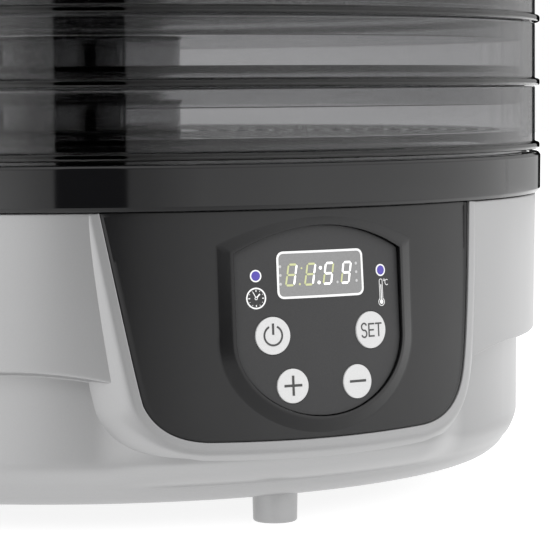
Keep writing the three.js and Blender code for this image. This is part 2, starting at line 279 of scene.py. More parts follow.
def on_face(x, z, lift=0.0):
    """The point of the panel's cone at that x, as seen from the front."""
    radius = lean_radius(z, lift)
    return x, -math.sqrt(radius * radius - x * x), z


def on_arc(arc, z, lift=0.0):
    """The point of the panel's cone at that distance along its curve."""
    angle = arc / PANEL_RADIUS
    radius = lean_radius(z, lift)
    return radius * math.sin(angle), -radius * math.cos(angle), z


def panel_matrix(arc, z, lift=0.0):
    """Local frame on the panel: X to the right, Y up along the face, Z outward."""
    angle = arc / PANEL_RADIUS
    outward = Vector((math.sin(angle), -math.cos(angle), PANEL_LEAN)).normalized()
    right = Vector((math.cos(angle), math.sin(angle), 0))
    up = outward.cross(right)
    place = Vector(on_arc(arc, z)) + outward * lift
    return Matrix.Translation(place) @ Matrix((right, up, outward)).transposed().to_4x4()


def bend(start, control, end, steps=14):
    """A quadratic curve between two points, without its last point."""
    return [
        tuple((1 - t) ** 2 * s + 2 * t * (1 - t) * c + t * t * e for s, c, e in zip(start, control, end))
        for t in (i / steps for i in range(steps))
    ]


def fascia_side(side, grow=0.0):
    """The right (1) or left (-1) half of the fascia's outline, from the bottom centre to the top corner."""
    low, rise, half_bottom, pieces = FASCIA_BOTTOM + 0.8, 0.7, 40.0, 16
    waist, waist_z, top = FASCIA_EDGES[side]
    turn = (FASCIA_CORNER[0] + grow, FASCIA_CORNER[1])
    flat = [(half_bottom * i / pieces, low + rise * (i / pieces) ** 2 - grow) for i in range(pieces)]
    corner = bend((half_bottom, low + rise - grow), (54.5 + grow, low + 1.7 - grow), turn, 18)
    end = (top + grow, SHELL_TOP)
    edge = bend(turn, (waist + grow, waist_z), end, 40)
    return [(side * x, z) for x, z in flat + corner + edge + [end]]


def fascia_line(grow=0.0):
    """The fascia's outline from its top left corner, under the panel and up to its top right corner."""
    return fascia_side(-1, grow)[:0:-1] + fascia_side(1, grow)


def shield_side(grow=0.0):
    """The right half of the control plate's outline, from the bottom centre to the top centre."""
    half_width, shoulder, middle = PLATE_HALF_WIDTH + grow, PLATE_SHOULDER + 0.5 * grow, PLATE_MIDDLE
    drop, crown = 24.8 + grow, shoulder + 8.2
    quarter = [i / 30 * math.pi / 2 for i in range(31)]
    bowl = [(half_width * math.sin(a), middle - drop * math.cos(a)) for a in quarter]
    side = [(half_width, middle + (shoulder - middle) * i / 12) for i in range(1, 12)]
    arch = bend((half_width, shoulder), (half_width / 2, crown), (0, crown), 16)
    return bowl + side + arch + [(0, crown)]


def mirrored(side):
    """A closed outline from its right half."""
    return side + [(-x, z) for x, z in reversed(side) if x > 1e-6]


def distance_to(outline, points):
    """Distance of each point to a polygon's edge, negative inside it."""
    line = np.array(outline, float)
    ends = np.roll(line, -1, axis=0)
    p = np.array(points, float)
    best = np.full(len(p), 1e9)
    inside = np.zeros(len(p), bool)
    for a, b in zip(line, ends):
        edge = b - a
        t = np.clip(((p - a) @ edge) / max(edge @ edge, 1e-12), 0, 1)
        best = np.minimum(best, np.hypot(*(p - a - t[:, None] * edge).T))
        crosses = (a[1] > p[:, 1]) != (b[1] > p[:, 1])
        with np.errstate(divide="ignore", invalid="ignore"):
            x = a[0] + (p[:, 1] - a[1]) * edge[0] / edge[1]
        inside ^= crosses & (p[:, 0] < x)
    return np.where(inside, -best, best)


def smooth_step(t):
    t = np.clip(t, 0, 1)
    return t * t * (3 - 2 * t)


# ---- materials ----


def grey(value, blue=0.0):
    return value, value, value + blue


def new_material(name):
    material = bpy.data.materials.new(name)
    material.use_nodes = True
    nodes = material.node_tree.nodes
    return material, nodes, material.node_tree.links, nodes["Principled BSDF"]


def set_inputs(node, values):
    for name, value in values.items():
        node.inputs[name].default_value = value


def add_noise(nodes, links, vector, scale, detail):
    noise = nodes.new("ShaderNodeTexNoise")
    set_inputs(noise, {"Scale": scale, "Detail": detail})
    links.new(vector, noise.inputs["Vector"])
    return noise.outputs["Fac"]


def add_bump(nodes, links, shader, height, depth):
    bump = nodes.new("ShaderNodeBump")
    bump.inputs["Distance"].default_value = depth
    links.new(height, bump.inputs["Height"])
    links.new(bump.outputs["Normal"], shader.inputs["Normal"])


def add_grain(nodes, links, shader, scale, depth, roughness, detail=4.0):
    """Fine moulded grain: bump from noise, and roughness that varies a little over the surface."""
    vector = nodes.new("ShaderNodeTexCoord").outputs["Object"]
    add_bump(nodes, links, shader, add_noise(nodes, links, vector, scale, detail), depth)
    spread = nodes.new("ShaderNodeMapRange")
    set_inputs(spread, {"From Min": 0.3, "From Max": 0.7, "To Min": roughness[0], "To Max": roughness[1]})
    links.new(add_noise(nodes, links, vector, scale / 40, 6), spread.inputs["Value"])
    links.new(spread.outputs["Result"], shader.inputs["Roughness"])
    return vector


def moulded(name, dark, light, roughness, grain=1500.0, depth=0.00002, specular=0.5, metallic=0.0):
    """Moulded plastic: fine grain, and a faint colour variation as pigment flakes give."""
    material, nodes, links, shader = new_material(name)
    vector = add_grain(nodes, links, shader, grain, depth, roughness)
    flakes = add_noise(nodes, links, vector, grain * 1.7, 8)
    add_two_tones(nodes, links, shader, flakes, dark, light, (0.35, 0.65))
    set_inputs(shader, {"Specular IOR Level": specular, "Metallic": metallic})
    return material


def smoky_plastic(name, clearness):
    """Clear styrene tinted in its mass, so thick places and edges seen along the wall go dark."""
    material, nodes, links, shader = new_material(name)
    add_grain(nodes, links, shader, 9, 0.000001, (0.02, 0.05), detail=1.0)
    set_inputs(shader, {"Base Color": (*grey(clearness), 1), "Transmission Weight": 1.0, "IOR": 1.57})
    absorption = nodes.new("ShaderNodeVolumeAbsorption")
    set_inputs(absorption, {"Color": (*grey(0.02, 0.02), 1), "Density": 340.0})
    links.new(absorption.outputs["Volume"], nodes["Material Output"].inputs["Volume"])
    return material


def glowing(name, colour, strength):
    material, nodes, links, shader = new_material(name)
    add_grain(nodes, links, shader, 900, 0.00001, (0.3, 0.4))
    shown = (*colour, 1)
    set_inputs(shader, {"Base Color": shown, "Emission Color": shown, "Emission Strength": strength})
    return material


def streaked(name, dark, light, roughness, stretch, metallic=0.0):
    """Rolled metal or layered board: colour and relief drawn out along one axis."""
    material, nodes, links, shader = new_material(name)
    squeeze = nodes.new("ShaderNodeMapping")
    squeeze.inputs["Scale"].default_value = stretch
    links.new(nodes.new("ShaderNodeTexCoord").outputs["Object"], squeeze.inputs["Vector"])
    streaks = add_noise(nodes, links, squeeze.outputs["Vector"], 1.0, 7)
    add_two_tones(nodes, links, shader, streaks, dark, light, (0.3, 0.7))
    add_bump(nodes, links, shader, streaks, 0.00003)
    set_inputs(shader, {"Metallic": metallic, "Roughness": roughness})
    return material


def circuit_laminate(name):
    """Green board: copper tracks under the lacquer show as slightly lighter squared cells."""
    material, nodes, links, shader = new_material(name)
    vector = add_grain(nodes, links, shader, 900, 0.00002, (0.25, 0.4))
    cells = nodes.new("ShaderNodeTexVoronoi")
    cells.distance = "CHEBYCHEV"
    cells.inputs["Scale"].default_value = 240
    links.new(vector, cells.inputs["Vector"])
    track, board = (0.02, 0.15, 0.06), (0.01, 0.07, 0.03)
    add_two_tones(nodes, links, shader, cells.outputs["Distance"], track, board, (0.3, 0.36))
    return material


def taped_winding(name):
    """Yellow tape wound round a coil, as bands with a rounded relief."""
    material, nodes, links, shader = new_material(name)
    turns = nodes.new("ShaderNodeTexWave")
    turns.bands_direction = "Z"
    set_inputs(turns, {"Scale": 160, "Distortion": 0.6})
    links.new(nodes.new("ShaderNodeTexCoord").outputs["Object"], turns.inputs["Vector"])
    edge, crown = (0.35, 0.22, 0.04), (0.6, 0.42, 0.09)
    add_two_tones(nodes, links, shader, turns.outputs["Fac"], edge, crown, (0.2, 0.8))
    add_bump(nodes, links, shader, turns.outputs["Fac"], 0.0002)
    shader.inputs["Roughness"].default_value = 0.35
    return material


def add_two_tones(nodes, links, shader, value, dark, light, places):
    """Base colour from dark to light where the value goes from the first place to the second."""
    ramp = nodes.new("ShaderNodeValToRGB")
    for element, colour, place in zip(ramp.color_ramp.elements, (dark, light), places):
        element.position = place
        element.color = (*colour, 1)
    links.new(value, ramp.inputs["Fac"])
    links.new(ramp.outputs["Color"], shader.inputs["Base Color"])


SILVER = moulded(
    "silver_plastic", grey(0.372, 0.003), grey(0.384, 0.003), (0.28, 0.31), depth=0.000006, metallic=0.55)
BLACK = moulded(
    "black_plastic", grey(0.0035, 0.0005), grey(0.0055, 0.0005), (0.05, 0.08),
    depth=0.0000015, specular=0.58)
FASCIA = moulded(
    "fascia_plastic", grey(0.006, 0.0005), grey(0.009, 0.0005), (0.2, 0.26), depth=0.000006, specular=0.6)
OVERLAY = moulded("overlay_plastic", grey(0.03, 0.001), grey(0.036, 0.001), (0.45, 0.55))
WHITE = moulded("white_plastic", grey(0.56), grey(0.6), (0.35, 0.45), depth=0.000008)
PRINT = moulded("white_print", grey(0.8), grey(0.86), (0.4, 0.5), depth=0.000004)
INK = moulded("dark_print", grey(0.045), grey(0.06), (0.4, 0.5), depth=0.000004)
WINDOW = moulded("display_window", grey(0.22), grey(0.25), (0.12, 0.2), depth=0.000002)
COVER = moulded(
    "cover_plastic", grey(0.012, 0.001), grey(0.018, 0.001), (0.45, 0.6), grain=900, depth=0.00005)
COMPONENT = moulded("component_plastic", grey(0.01, 0.002), grey(0.02, 0.002), (0.35, 0.5), grain=1200)
CERAMIC = moulded("ceramic", (0.6, 0.58, 0.53), (0.7, 0.68, 0.63), (0.5, 0.65), grain=700)
STEEL = streaked("plated_steel", grey(0.42, 0.01), grey(0.56, 0.01), 0.3, (900, 900, 90), metallic=1.0)
SHEET = streaked("duct_sheet", grey(0.5, 0.02), grey(0.62, 0.02), 0.36, (60, 700, 700), metallic=1.0)
MICA = streaked("mica_board", (0.28, 0.2, 0.11), (0.45, 0.36, 0.22), 0.5, (140, 140, 1500))
COIL = streaked("coil_wire", (0.2, 0.16, 0.13), (0.34, 0.29, 0.25), 0.4, (700, 700, 700), metallic=1.0)
LAMINATE = circuit_laminate("circuit_laminate")
WINDING = taped_winding("taped_winding")
SMOKE = smoky_plastic("smoky_plastic", 0.97)
# Painted shade: the rim's low clearness darkens the flange faces to stand in for the shadow gaps and dark
# edges at the seams between stacked trays.
PAINTED_RIM_SHADE = smoky_plastic("smoky_rim_painted_shade", 0.3)
LIT = glowing("segment_lit", (0.95, 0.95, 0.93), 0.6)
UNLIT = glowing("segment_unlit", (0.5, 0.52, 0.28), 0.12)
DIM = glowing("segment_dim", (0.45, 0.45, 0.45), 0.12)
LAMP = glowing("lamp_lens", (0.08, 0.06, 0.34), 0.08)


# ---- base ----


def housing_outer():
    """The silver shell's outer profile from the flat bottom up to the band, as (r, z, fillet)."""
    corners = []
    steps, inset, height, power = 14, 11.2, 14.8, 1.28
    for i in range(steps, -1, -1):
        angle = i / steps * math.pi / 2
        radius = LOWER_RADIUS - inset + inset * math.cos(angle) ** power
        corners.append((radius, BODY_BOTTOM + height * (1 - math.sin(angle) ** power), 0))
    ledge = [(LOWER_RADIUS + 0.2, LEDGE_Z - 1.3, 0.8), (LOWER_RADIUS + 6.3, LEDGE_Z, 1.1)]
    return corners + ledge + [(SHELL_RADIUS, SHELL_TOP, 0.6)]


def bib_radius(z):
    """The raised frame's face: a little proud of the shell at the top, more so below."""
    low, high, low_radius = FASCIA_BOTTOM, SHELL_TOP, 165.2
    return low_radius + (SHELL_RADIUS + 0.05 - low_radius) * np.clip((z - low) / (high - low), 0, 1)


def densified(outline, spacing):
    """The outline with points added along its long stretches, at most the spacing apart."""
    fine = []
    for (r, z), (r_next, z_next) in zip(outline, outline[1:] + outline[:1]):
        count = max(1, math.ceil(math.hypot(r_next - r, z_next - z) / spacing))
        fine += [(r + (r_next - r) * k / count, z + (z_next - z) * k / count) for k in range(count)]
    return fine


def make_housing():
    """The silver shell, turned, finer and bent over the panel's sector, with the panel's frame on it."""
    web_radius, web_top, lap = 150, 20, 1.2
    outer = densified(fillet(housing_outer() + [(web_radius, SHELL_TOP, 0)], 6), 1.5)
    # Of the outline's closing stretch only the lowest points stay, as a web inside the wall.
    outer = [(r, z) for r, z in outer if r > web_radius - 0.01 or z < web_top]
    outer = [(r, z) for r, z in outer if z < SHELL_TOP - 0.01 or r > SHELL_RADIUS - lap]
    wall, seat, seat_z = LOWER_RADIUS - 2.6, COVER_RADIUS + 0.3, 13.2
    inner = fillet([
        (SHELL_RADIUS, SHELL_TOP, 0), (SHELL_RADIUS - 2.6, SHELL_TOP, 0.4),
        (LOWER_RADIUS + 3.8, LEDGE_Z + 4, 2), (wall, LEDGE_Z - 4, 2), (wall, 25.4, 2), (145, 13.4, 4),
        (COVER_RADIUS - 13, 15.6, 0), (COVER_RADIUS - 13, seat_z, 0), (seat, seat_z, 0),
        (seat, BODY_BOTTOM, 0.4),
    ], 6)
    middle, half_sector = -math.pi / 2, math.radians(40)
    dense = np.linspace(middle - half_sector, middle + half_sector, 180)
    rest = np.linspace(middle + half_sector, middle + 2 * math.pi - half_sector, 190)
    angles = list(dense) + list(rest[1:-1])
    points, faces = lathe(outer + inner[1:], angles=angles)
    is_skin = np.tile([True] * len(outer) + [False] * (len(inner) - 1), len(angles))
    points = shape_front(np.array(points), is_skin)
    make_object("housing", [(points, faces), bib_surface()], SILVER, "base", 40)


def shape_front(points, is_skin):
    """Bends the turned shell: the ledge dips at the panel, a chin swells below, a crease runs round."""
    x, y, z = points.T
    radius = np.hypot(x, y)
    away = np.degrees(np.abs(np.arctan2(x, -y)))
    dip_depth, dip_starts, dip_width = 3.4, 36, 11
    dip = dip_depth * np.clip((dip_starts - away) / dip_width, 0, 1.1) ** 2
    near_ledge = np.interp(z, [LEDGE_Z - 14, LEDGE_Z - 1, LEDGE_Z + 6, LEDGE_Z + 30], [0, 1, 1, 0])
    chin_radius, chin_half_width, chin_fade, chin_rise = 163.9, 42, 28, 11.5
    chin = (1 - smooth_step((np.abs(x) - chin_half_width) / chin_fade)) * (y < 0)
    rise = np.clip((z - CREASE_Z) / chin_rise, 0, 1)
    swell = np.maximum(chin_radius - radius, 0) * rise * (1.7 - 0.7 * rise) * chin
    swell = np.where(is_skin & (z < LEDGE_Z - 6), swell, 0)
    crease_depth, crease_reach = 0.35 + 0.4 * chin, 1.9
    groove = np.where(is_skin, crease_depth * np.maximum(0, 1 - np.abs(z - CREASE_Z) / crease_reach), 0)
    covered = (y < 0) & (z > 20) & (distance_to(fascia_line(), points[:, [0, 2]]) < 1.2)
    behind = np.minimum(radius, lean_radius(z, np.where(is_skin, -6.0, -8.5)))
    target = np.where(covered, behind, radius + swell - groove)
    return np.column_stack([x * target / radius, y * target / radius, z - dip * near_ledge])


def bib_surface():
    """The silver frame round the fascia: a lip, a narrow land, and a ramp that curves into the shell."""
    line = np.array(resampled(fascia_line(0.16), 620))
    tangent = np.gradient(line, axis=0)
    tangent /= np.linalg.norm(tangent, axis=1)[:, None]
    normal = np.column_stack([tangent[:, 1], -tangent[:, 0]])
    lip, land, reach, fall = 0.45, 2.3, 8.3, 0.145
    rows = [(0.0, 3.5), (0.0, lip)]
    for a in np.linspace(0.2, math.pi / 2, 5):
        rows.append((lip * (1 - math.cos(a)), lip * (1 - math.sin(a))))
    rows.append((land - 0.15, 0.0))
    for t in np.linspace(0, 1, 30):
        rows.append((land + reach * t, fall * (reach * t) ** 2))
    points = []
    for offset, drop in rows:
        spot = line + normal * offset
        z = np.minimum(spot[:, 1], SHELL_TOP)
        radius = bib_radius(z) - drop
        y = -np.sqrt(radius**2 - spot[:, 0] ** 2)
        points.extend(zip(spot[:, 0], y, z))
    return points, grid_faces(len(rows), len(line))


def resampled(line, count):
    """The same polyline with evenly spaced points."""
    line = np.array(line, float)
    steps = np.hypot(*np.diff(line, axis=0).T)
    keep = np.concatenate([[True], steps > 1e-9])
    line = line[keep]
    travelled = np.concatenate([[0], np.cumsum(steps[steps > 1e-9])])
    at = np.linspace(0, travelled[-1], count)
    return np.column_stack([np.interp(at, travelled, line[:, k]) for k in (0, 1)])


def make_deck():
    floor = 112.5
    outline = fillet([
        (161, BAND_BOTTOM, 0.3), (163.9, BAND_BOTTOM, 0.8), (164.9, BAND_BOTTOM + 1.3, 0.8),
        (BAND_RADIUS, BAND_TOP - 1, 0.8), (BAND_RADIUS - 0.8, BAND_TOP, 0.8), (160.6, BAND_TOP, 0.6),
        (160.3, floor, 0.8), (CHIMNEY_RADIUS + 2.2, floor, 1.0), (CHIMNEY_RADIUS + 2.2, BAND_TOP, 0.8),
        (CHIMNEY_RADIUS, BAND_TOP, 0.8), (CHIMNEY_RADIUS, floor - 2.2, 0.5), (161, floor - 2.2, 0.5),
    ])
    piece = make_object("top_deck", [lathe(outline, 256)], BLACK, "base")
    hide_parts("deck")


def make_feet():
    for side in ("front", "right", "rear", "left"):
        name = f"foot_{side}"
        low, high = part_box(name)
        centre = (low + high) / 2 / MM
        top = high.z / MM
        outline = fillet([(0, 0, 0), (FOOT_RADIUS - 0.2, 0, 1.0), (FOOT_RADIUS, top, 0.2), (0, top, 0)])
        part = moved(lathe(outline, 64), Matrix.Translation((centre.x, centre.y, 0)))
        piece = make_object(f"rubbed_{name}", [part], SILVER, "base")
        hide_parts(name)


# ---- control panel ----


def half_width(line, z):
    """The outline's half-width at a height, from its right half."""
    order = np.argsort(line[:, 1], kind="stable")
    return np.interp(z, line[order, 1], line[order, 0])


def polar_reach(outline, centre, angles):
    """Distance from a centre to an outline around it, in each direction."""
    line = resampled(outline + outline[:1], 6000) - np.array(centre)
    turn = np.arctan2(line[:, 1], line[:, 0])
    order = np.argsort(turn)
    return np.interp(angles, turn[order], np.hypot(*line[order].T), period=2 * math.pi)


def boss_level(z):
    """The raised ring around the plate, over the panel's cone: further proud towards the top."""
    return 0.9 + (z - 40) / 62


def field_level(z):
    """The fascia around the boss, over the panel's cone: it leans back less than the plate does."""
    return 164.3 - 0.042 * (z - 40) - lean_radius(z)


def fascia_lift(spots, share):
    """Height over the panel's cone: share 0 on the boss, 1 on the field, which rises to meet the frame."""
    z = spots[:, 1]
    sides = [half_width(np.abs(np.array(fascia_side(side))), z) for side in (1, -1)]
    room = np.where(spots[:, 0] > 0, *sides) - np.abs(spots[:, 0])
    near_side = (1 - smooth_step(room / FASCIA_RISE)) ** 2
    rim_step, rise_share = 0.4, 0.6
    rim = bib_radius(z) - rim_step - lean_radius(z)
    level = field_level(z) + rise_share * np.maximum(rim - field_level(z), 0) * near_side
    return boss_level(z) + (level - boss_level(z)) * share


def make_fascia():
    """The fascia as rings of points between the plate's outline and its own."""
    centre = (0.0, 64.0)
    corners = [(side * PLATE_HALF_WIDTH, PLATE_SHOULDER) for side in (1, -1)]
    corners += [(side * top, SHELL_TOP) for side, (_, _, top) in FASCIA_EDGES.items()]
    turns = [math.atan2(z - centre[1], x) for x, z in corners]
    angles = np.array(sorted(turns + list(np.linspace(-math.pi, math.pi, 560, endpoint=False))))
    outer = polar_reach(fascia_line(), centre, angles)
    direction = np.column_stack([np.cos(angles), np.sin(angles)])

    def ring(reach):
        return np.array(centre) + direction * np.minimum(reach, outer)[:, None]

    def shield(grow):
        return polar_reach(mirrored(shield_side(grow)), centre, angles)

    flank_start, flank_end = shield(BOSS_STRIP), shield(BOSS_STRIP + BOSS_FLANK)
    rows = []
    for grow, fall in ((0.2, 3.6), (0.2, 0.14), (0.34, 0.0), (0.7, 0.0), (BOSS_STRIP - 0.03, 0.0)):
        spots = ring(shield(grow))
        rows.append((spots, fascia_lift(spots, 0.0) - fall))
    for share in np.linspace(0.02, 1, 12):
        spots = ring(flank_start + (flank_end - flank_start) * share)
        rows.append((spots, fascia_lift(spots, share)))
    gap = outer - np.minimum(flank_end, outer)
    for share in np.linspace(0.03, 1, 34):
        spots = ring(outer - gap * (1 - share) - 0.5 * share)
        rows.append((spots, fascia_lift(spots, 1.0)))
    last = rows[-1][1]
    for back, fall in ((0.16, 0.04), (0.0, 0.2), (0.0, 3.0)):
        rows.append((ring(outer - back), last - fall))
    points = [
        on_face(x, min(z, SHELL_TOP), lift) for spots, lifts in rows for (x, z), lift in zip(spots, lifts)
    ]
    faces = grid_faces(len(rows), len(angles), closed=True)
    piece = make_object("fascia_panel", [(points, faces)], FASCIA, "base", 24)
    thicken(piece, 1.2)
    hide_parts("fascia")


def thicken(piece, depth):
    solidify = piece.modifiers.new("thickness", "SOLIDIFY")
    solidify.thickness = depth * MM
    solidify.offset = -1


def apply_modifiers(piece):
    """Turns the piece's modifiers into mesh."""
    shaped = piece.evaluated_get(bpy.context.evaluated_depsgraph_get())
    mesh = bpy.data.meshes.new_from_object(shaped)
    piece.modifiers.clear()
    piece.data = mesh


def face_patch(outline_side, columns, rows, lift, depth):
    """A closed plate on the panel's cone over a left-right symmetric outline, depth thick."""
    line = np.array(outline_side)
    low, high = line[:, 1].min(), line[:, 1].max()
    share = (1 - np.cos(np.linspace(0, math.pi, rows))) / 2
    heights = low + (high - low) * (0.7 * share + 0.3 * np.linspace(0, 1, rows))
    layers = []
    for level in (lift, lift - depth):
        for z in heights:
            width = max(half_width_at(line, z), 0.02)
            layers += [on_face(u * width, z, level) for u in np.linspace(-1, 1, columns)]
    size = rows * columns
    faces = []
    for r in range(rows - 1):
        for c in range(columns - 1):
            a = r * columns + c
            faces.append((a, a + 1, a + columns + 1, a + columns))
            faces.append((a + size, a + size + columns, a + size + columns + 1, a + size + 1))
    rim = [c for c in range(columns)] + [(r + 1) * columns - 1 for r in range(1, rows)]
    rim += [size - 1 - c for c in range(1, columns)] + [r * columns for r in range(rows - 2, 0, -1)]
    for a, b in zip(rim, rim[1:] + rim[:1]):
        faces.append((a, b, b + size, a + size))
    return layers, faces


def half_width_at(line, z):
    """The right half outline's greatest reach at a height."""
    found = [0.0]
    for (xa, za), (xb, zb) in zip(line[:-1], line[1:]):
        if min(za, zb) - 1e-9 <= z <= max(za, zb) + 1e-9:
            found.append(max(xa, xb) if abs(zb - za) < 1e-9 else xa + (xb - xa) * (z - za) / (zb - za))
    return max(found)


def make_plate():
    """The shield-shaped control plate, with a hole for each button."""
    patch = face_patch(shield_side(-0.15), 120, 100, PLATE_LIFT, 1.1)
    piece = make_object("shield_plate", [patch], OVERLAY, "base", 40)
    holes = []
    for arc, z, radius in BUTTONS.values():
        outline = [(0, -6), (radius + 0.18, -6), (radius + 0.18, 4), (0, 4)]
        holes.append(moved(lathe(outline, 72), panel_matrix(arc, z)))
    cutter = make_object("button_holes", holes, OVERLAY, "base")
    cut = piece.modifiers.new("holes", "BOOLEAN")
    cut.operation = "DIFFERENCE"
    cut.object = cutter
    cut.solver = "EXACT"
    apply_modifiers(piece)
    bpy.data.objects.remove(cutter)
    piece.data.shade_smooth()
    piece.data.set_sharp_from_angle(angle=math.radians(40))
    flatten_shading(piece)
    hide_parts("control_plate")


def make_buttons():
    for name, (arc, z, radius) in BUTTONS.items():
        top = PLATE_LIFT + 0.42
        outline = fillet([
            (0, -5, 0), (2.6, -5, 0), (2.6, -2.6, 0), (radius - 1.2, -2.6, 0), (radius, -1.9, 0.3),
            (radius, top, 0.3), (0, top + 0.06, 0),
        ])
        part = moved(lathe(outline, 96), panel_matrix(arc, z))
        piece = make_object(f"{name}_cap", [part], WHITE, name)
        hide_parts(name)
        make_mark(f"{name}_mark", BUTTON_MARKS[name], INK, name, arc, z, top + 0.05)


# ---- printed marks ----


def ribbon(path, width, closed=False, height=0.05):
    """A thin closed strip along a flat path, with mitred corners, lying on z = 0."""
    line = np.array(path, float)
    if closed:
        ahead, behind = np.roll(line, -1, axis=0) - line, line - np.roll(line, 1, axis=0)
    else:
        steps = np.diff(line, axis=0)
        ahead, behind = np.vstack([steps, steps[-1:]]), np.vstack([steps[:1], steps])
    ahead /= np.linalg.norm(ahead, axis=1)[:, None]
    behind /= np.linalg.norm(behind, axis=1)[:, None]
    middle = ahead + behind
    middle /= np.linalg.norm(middle, axis=1)[:, None]
    stretch = 1 / np.maximum(np.sum(middle * ahead, axis=1), 0.4)
    across = np.column_stack([-middle[:, 1], middle[:, 0]]) * (stretch * width / 2)[:, None]
    left, right = line + across, line - across
    count = len(line)
    points = [(x, y, h) for h in (height, 0.0) for side in (left, right) for x, y in side]
    faces = []
    for i in range(count if closed else count - 1):
        j = (i + 1) % count
        a, b, c, d = i, j, count + j, count + i
        e, f, g, h = (k + 2 * count for k in (a, b, c, d))
        faces += [(a, b, c, d), (e, h, g, f), (a, e, f, b), (d, c, g, h)]
    if not closed:
        for i in (0, count - 1):
            faces.append((i, count + i, 3 * count + i, 2 * count + i))
    return points, faces


def slab(outline, height=0.05):
    """A thin closed plate over a flat outline, lying on z = 0."""
    sides = len(outline)
    points = [(x, y, h) for h in (height, 0.0) for x, y in outline]
    faces = [tuple(range(sides)), tuple(range(2 * sides - 1, sides - 1, -1))]
    faces += [(i, i + sides, (i + 1) % sides + sides, (i + 1) % sides) for i in range(sides)]
    return points, faces


def disc(x, y, radius):
    turns = np.linspace(0, 2 * math.pi, 28, endpoint=False)
    return slab([(x + radius * math.cos(t), y + radius * math.sin(t)) for t in turns])


def arc_path(x, y, radius, start, end, steps=40, tall=1.0):
    """Points along an arc, its angles in degrees from the right, anticlockwise."""
    ts = np.radians(np.linspace(start, end, steps))
    return [(x + radius * math.cos(t), y + radius * tall * math.sin(t)) for t in ts]


def circle_path(x, y, radius, sides=56):
    return arc_path(x, y, radius, 0, 360, sides + 1)[:-1]


def rounded_frame(half_wide, half_high, radius):
    """A rounded rectangle around the origin."""
    path = []
    for i, (sx, sy) in enumerate(((1, 1), (-1, 1), (-1, -1), (1, -1))):
        x, y = sx * (half_wide - radius), sy * (half_high - radius)
        path += arc_path(x, y, radius, 90 * i, 90 * (i + 1), 7)
    return [tuple(p) for p in resampled(path + path[:1], 161)[:-1]]


def make_mark(name, parts, material, body, arc, z, lift):
    """A printed mark: flat parts around (arc, z), laid on the panel's curve."""
    clear = 0.02
    laid = []
    for points, faces in parts:
        laid.append(([on_arc(arc + u, z + v, lift + clear + h) for u, v, h in points], faces))
    return make_object(name, laid, material, body, 60)


def set_mark():
    """The three letters of SET, drawn with single strokes."""
    half = 2.2
    bar = half - 0.24
    s_top, s_low = (-2.95, half / 2, 1.0, 20, 250), (-2.95, -half / 2, 1.0, 70, -160)
    s_curve = arc_path(*s_top, 26, 1.12) + arc_path(*s_low, 26, 1.12)
    uprights = [s_curve, [(-1.0, -half), (-1.0, half)], [(2.95, -half), (2.95, half - 0.2)]]
    bars = [(-1.0, 1.2, bar), (-1.0, 0.95, 0), (-1.0, 1.2, -bar), (1.6, 4.3, bar)]
    parts = [ribbon(path, 0.5) for path in uprights]
    return parts + [ribbon([(left, y), (right, y)], 0.48, height=0.06) for left, right, y in bars]


BUTTON_MARKS = {
    "button_power": [ribbon(arc_path(0, 0.1, 3.05, 116, 424, 60), 0.6), ribbon([(0, 0.35), (0, 3.9)], 0.72)],
    "button_set": set_mark(),
    "button_plus": [
        ribbon([(-3.1, 0.15), (3.1, 0.15)], 0.8), ribbon([(0, -3.0), (0, 3.3)], 0.8, height=0.06),
    ],
    "button_minus": [ribbon([(-3.15, 0.15), (3.15, 0.15)], 0.8)],
}


def clock_mark():
    parts = [ribbon(circle_path(0, 0, 3.15), 0.46, closed=True)]
    parts.append(ribbon(circle_path(0, 0, 0.4, 20), 0.2, closed=True))
    for hour in range(12):
        t = math.radians(30 * hour)
        inner, width = (2.05, 0.3) if hour % 3 == 0 else (2.35, 0.16)
        parts.append(ribbon([(r * math.cos(t), r * math.sin(t)) for r in (inner, 2.65)], width))
    parts.append(ribbon([(0.25, 0.3), (1.3, 1.35)], 0.42, height=0.06))
    parts.append(ribbon([(-0.2, 0.42), (-1.05, 2.0)], 0.26, height=0.06))
    return parts


def thermometer_mark():
    outline = [(0.62, 3.5 - 6.0 * i / 10) for i in range(11)]
    outline += arc_path(0, -3.2, 1.22, 56, -236, 34) + [(-0.62, -2.5 + 6.0 * i / 10) for i in range(11)]
    outline += arc_path(0, 3.5, 0.62, 180, 0, 12)[1:-1]
    glass, bulb = ribbon(outline, 0.2, closed=True), disc(0, -3.2, 0.72)
    column = ribbon([(0, -3.0), (0, 2.4)], 0.36, height=0.06)
    degree = ribbon(circle_path(1.45, 3.75, 0.3, 16), 0.14, closed=True)
    celsius = ribbon(arc_path(2.55, 3.0, 0.75, 50, 310, 22, 1.15), 0.2)
    return [glass, bulb, column, degree, celsius]


SEGMENTS = {  # start and end of each segment on a grid of 1 across and 2 up
    "a": ((0, 2), (1, 2)), "b": ((1, 2), (1, 1)), "c": ((1, 1), (1, 0)), "d": ((0, 0), (1, 0)),
    "e": ((0, 0), (0, 1)), "f": ((0, 1), (0, 2)), "g": ((0, 1), (1, 1)),
}
LIT_SEGMENTS = ("bc", "bc", "afgcd", "abcdfg")
DIGIT_ARCS = (-11.0, -4.2, 2.6, 9.4)
DIGIT_WIDE, DIGIT_HIGH, DIGIT_SLANT = 2.9, 6.5, 0.19


def segment(digit_arc, name):
    """One pointed bar of a slanted seven-segment digit."""
    ends = []
    for x, y in SEGMENTS[name]:
        up = (y / 2 - 0.5) * DIGIT_HIGH
        ends.append(np.array([digit_arc + (x - 0.5) * DIGIT_WIDE + up * DIGIT_SLANT, up]))
    start, end = ends
    along = (end - start) / np.linalg.norm(end - start)
    if name in "bcef":  # upright bars stay level across their width, however slanted
        side = np.array([0.31, 0])
    else:
        side = np.array([-along[1], along[0]]) * 0.34
    tip, shoulder = along * 0.14, along * 0.46
    outline = [
        start + tip, start + shoulder + side, end - shoulder + side,
        end - tip, end - shoulder - side, start + shoulder - side,
    ]
    return slab(outline)


